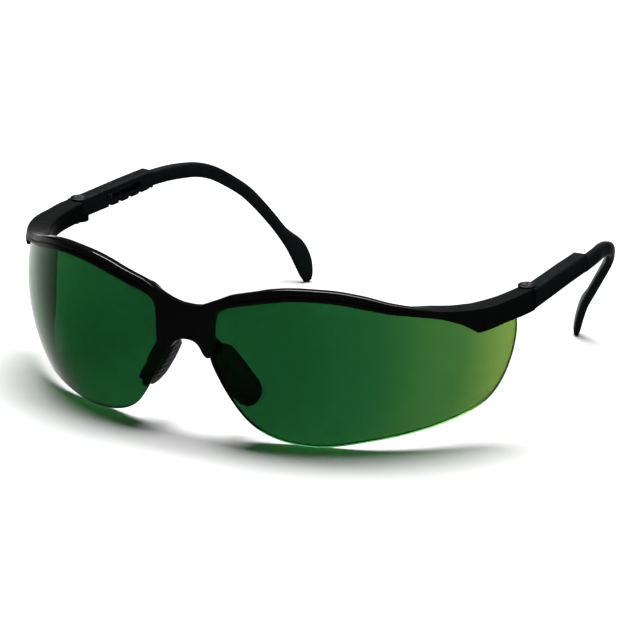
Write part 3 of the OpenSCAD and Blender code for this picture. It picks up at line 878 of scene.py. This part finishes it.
def pad_axes():
    """The pad's own directions: across its width, up its length, and out of its back."""
    lean = math.atan2(PAD_FOOT.x - PAD_TOP.x, PAD_TOP.z - PAD_FOOT.z)
    turn = Matrix.Rotation(-PAD_TURN, 3, "Z") @ Matrix.Rotation(-lean, 3, "Y")
    outwards = turn @ Vector((1, 0, 0))
    turn = Matrix.Rotation(PAD_PITCH, 3, outwards) @ turn
    return turn @ Vector((0, 1, 0)), turn @ Vector((0, 0, 1)), outwards


def nose_pad(side):
    """A soft pad: a rounded slab whose face to the nose is crowned and ribbed."""
    across, upright, outwards = pad_axes()
    middle = (PAD_TOP + PAD_FOOT) / 2
    rings, spokes = 40, 120
    limit = LENS_RADIUS - LENS_THICKNESS - 0.35

    def outline(angle):
        reach = PAD_HEIGHT / 2 - PAD_WIDTH / 2
        c, s = math.cos(angle), math.sin(angle)
        return PAD_WIDTH / 2 * c, PAD_WIDTH / 2 * s + reach * math.copysign(min(1, abs(s) * 1.6), s)

    def face_height(share, b):
        crown = 1 - 0.30 * share ** 2
        rolled = 1 - ease(0.86, 1.0, share) * 0.42
        rib = RIB_DEPTH * (0.5 - 0.5 * math.cos(2 * math.pi * b / RIB_PITCH)) ** 0.6
        return PAD_THICKNESS * crown * rolled - rib * (1 - ease(0.72, 0.9, share))

    def spot(a, b, depth):
        p = middle + across * a + upright * b - outwards * depth
        from_lens = p - LENS_CENTRE
        p = LENS_CENTRE + from_lens * min(1, limit / from_lens.length)
        p.y = max(p.y, PAD_FRONT)
        return p

    angles = [2 * math.pi * k / spokes for k in range(spokes)]
    shares = [math.sin(math.pi / 2 * (i + 1) / rings) for i in range(rings)]
    front = [
        [spot(a * share, b * share, face_height(share, b * share)) for a, b in map(outline, angles)]
        for share in shares
    ]
    sides = [[spot(a, b, d) for a, b in map(outline, angles)] for d in (1.2, 0.5, 0.15)]
    back = [[spot(a * s, b * s, 0.06) for a, b in map(outline, angles)] for s in (0.97, 0.7, 0.3)]
    points, faces = loft(front + sides + back, closed_ends=False)
    for depth, start in ((face_height(0, 0), 0), (0.06, len(points) - spokes)):
        centre = len(points)
        points.append(spot(0, 0, depth))
        faces += [(centre, start + (k + 1) % spokes, start + k) for k in range(spokes)]
    name = "left_ribbed_pad" if side > 0 else "right_ribbed_pad"
    obj = solid(name, points, faces, side < 0)
    shade(obj, 60)
    return obj


# ---------- CAD pieces that keep their shape ----------


def soften(node, material, bevel):
    """Rounds a CAD node's hard edges by modifiers and gives it its finish."""
    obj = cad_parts[node]
    weld = obj.modifiers.new("weld", "WELD")
    weld.merge_threshold = 0.000002
    round_over = obj.modifiers.new("round", "BEVEL")
    round_over.width = bevel * MM
    round_over.segments = 3
    round_over.limit_method = "ANGLE"
    round_over.angle_limit = math.radians(40)
    round_over.harden_normals = False
    obj.data.materials.clear()
    obj.data.materials.append(material)
    obj.data.shade_smooth()
    obj.data.set_sharp_from_angle(angle=math.radians(40))


# ---------- assembly ----------

finish_piece(brow_frame(), BROW_BLACK, "frame_plastic", "front", "brow_frame")
for word, side in (("left", 1), ("right", -1)):
    tint_and_highlight = filter_lens(word + "_filter_lens", side)
    finish_piece(lens(side), tint_and_highlight, "lens", "front", word + "_lens")
    finish_piece(nose_pad(side), PAD_RUBBER, "pad_rubber", "front", word + "_nose_pad")
    arm = temple_arm(side)
    finish_piece(arm, SATIN_BLACK, "temple_plastic", word + "_arm", word + "_temple_arm")
    sleeve = temple_sleeve(side)
    finish_piece(sleeve, SLEEVE_BLACK, "temple_plastic", word + "_temple", word + "_temple_sleeve")
    soften(word + "_slide_stud", GLOSS_BLACK, 0.1)
    soften(word + "_hinge_screw", SCREW_STEEL, 0.08)
    soften(word + "_hinge_insert", INSERT_BRASS, 0.05)
soften("nose_bracket", SLEEVE_BLACK, 0.2)


# ---------- floor, light and camera ----------


def studio():
    """A pale floor that runs out of sight, in a dark room that is lit low down at its rear left."""
    reach = 3.0
    mesh = bpy.data.meshes.new("floor")
    corners = [(-reach, -reach, 0), (reach, -reach, 0), (reach, reach, 0), (-reach, reach, 0)]
    mesh.from_pydata(corners, [], [(0, 1, 2, 3)])
    floor = bpy.data.objects.new("floor", mesh)
    bpy.context.scene.collection.objects.link(floor)
    n = Nodes("pale_floor")
    n.link(n.blend(n.noise(8, 3), (0.90, 0.90, 0.90), (0.93, 0.93, 0.93)), n.shader.inputs["Base Color"])
    n.shader.inputs["Roughness"].default_value = 0.6
    mesh.materials.append(n.material)
    # The gloss shows the room below, so the floor neither mirrors in it nor shades it.
    floor.visible_glossy = False
    floor.visible_shadow = False

    world = bpy.data.worlds.new("studio")
    world.use_nodes = True
    tree = world.node_tree
    background = tree.nodes["Background"]
    background.inputs[0].default_value = (1, 1, 1, 1)
    bpy.context.scene.world = world

    def node(kind, **values):
        made = tree.nodes.new(kind)
        for key, value in values.items():
            setattr(made, key, value)
        return made

    def step(value, start, end, low, high):
        made = node("ShaderNodeMapRange", interpolation_type="SMOOTHSTEP")
        for socket, number in zip(made.inputs[1:5], (start, end, low, high)):
            socket.default_value = number
        tree.links.new(value, made.inputs[0])
        return made.outputs[0]

    def times(a, b):
        made = node("ShaderNodeMath", operation="MULTIPLY")
        tree.links.new(a, made.inputs[0])
        tree.links.new(b, made.inputs[1])
        return made.outputs[0]

    direction = node("ShaderNodeTexCoord").outputs["Generated"]
    dot = node("ShaderNodeVectorMath", operation="DOT_PRODUCT")
    dot.inputs[1].default_value = REAR_OF_ROOM
    tree.links.new(direction, dot.inputs[0])
    rear = dot.outputs["Value"]
    split = node("ShaderNodeSeparateXYZ")
    tree.links.new(direction, split.inputs[0])
    height = split.outputs["Z"]
    swell = step(rear, 0.05, 0.95, 0.0, 1.0)
    left = step(split.outputs["X"], -0.4, -0.1, 1.0, 0.0)
    low = times(step(height, -0.75, -0.25, 0.0, 1.0), step(height, -0.05, 0.08, 1.0, 0.0))
    glow = times(times(swell, left), low)
    total = node("ShaderNodeMath", operation="MULTIPLY_ADD")
    total.inputs[1].default_value = REAR_GLOW
    total.inputs[2].default_value = ROOM_GLOW
    tree.links.new(glow, total.inputs[0])
    tree.links.new(total.outputs[0], background.inputs[1])


def softbox(name, place, aim, width, height, power):
    light = bpy.data.lights.new(name, "AREA")
    light.shape = "RECTANGLE"
    light.size = width
    light.size_y = height
    light.energy = power
    obj = bpy.data.objects.new(name, light)
    obj.location = place
    obj.rotation_euler = (Vector(aim) - Vector(place)).to_track_quat("-Z", "Y").to_euler()
    bpy.context.scene.collection.objects.link(obj)


# The room: the direction of its lit part, and how bright that part and the rest are.
REAR_OF_ROOM = (-0.2756, 0.957, 0.0)
REAR_GLOW = 1.0
ROOM_GLOW = 0.02

# The viewing direction: from the wearer's left front, a little above, with a long lens.
AZIMUTH = math.radians(32.21)
ELEVATION = math.radians(18.18)
VIEW_WIDTH = 168.35
VIEW_DISTANCE = 6313.0
AIM = (35.64, 30.46)

VIEW_RIGHT = Vector((math.cos(AZIMUTH), math.sin(AZIMUTH), 0))
VIEW_BACK = Vector((
    math.sin(AZIMUTH) * math.cos(ELEVATION),
    -math.cos(AZIMUTH) * math.cos(ELEVATION),
    math.sin(ELEVATION),
))
VIEW_UP = VIEW_BACK.cross(VIEW_RIGHT)


def camera():
    data = bpy.data.cameras.new("camera")
    data.sensor_width = 36
    data.lens = 36 * VIEW_DISTANCE / VIEW_WIDTH
    data.clip_start = 0.5
    data.clip_end = 30
    obj = bpy.data.objects.new("camera", data)
    spot = placed(VIEW_RIGHT * AIM[0] + VIEW_UP * AIM[1] + VIEW_BACK * VIEW_DISTANCE)
    axes = Matrix((VIEW_RIGHT, VIEW_UP, VIEW_BACK)).transposed()
    obj.matrix_world = Matrix.Translation(spot) @ axes.to_4x4()
    bpy.context.scene.collection.objects.link(obj)
    bpy.context.scene.camera = obj


studio()
middle = Vector((0, 0, 0.02))
softbox("overhead", middle + Vector((-0.12, 0.26, 1.0)), middle + Vector((-0.12, 0.26, 0)), 1.1, 0.6, 23)
camera()
bpy.context.scene.view_settings.view_transform = "Standard"
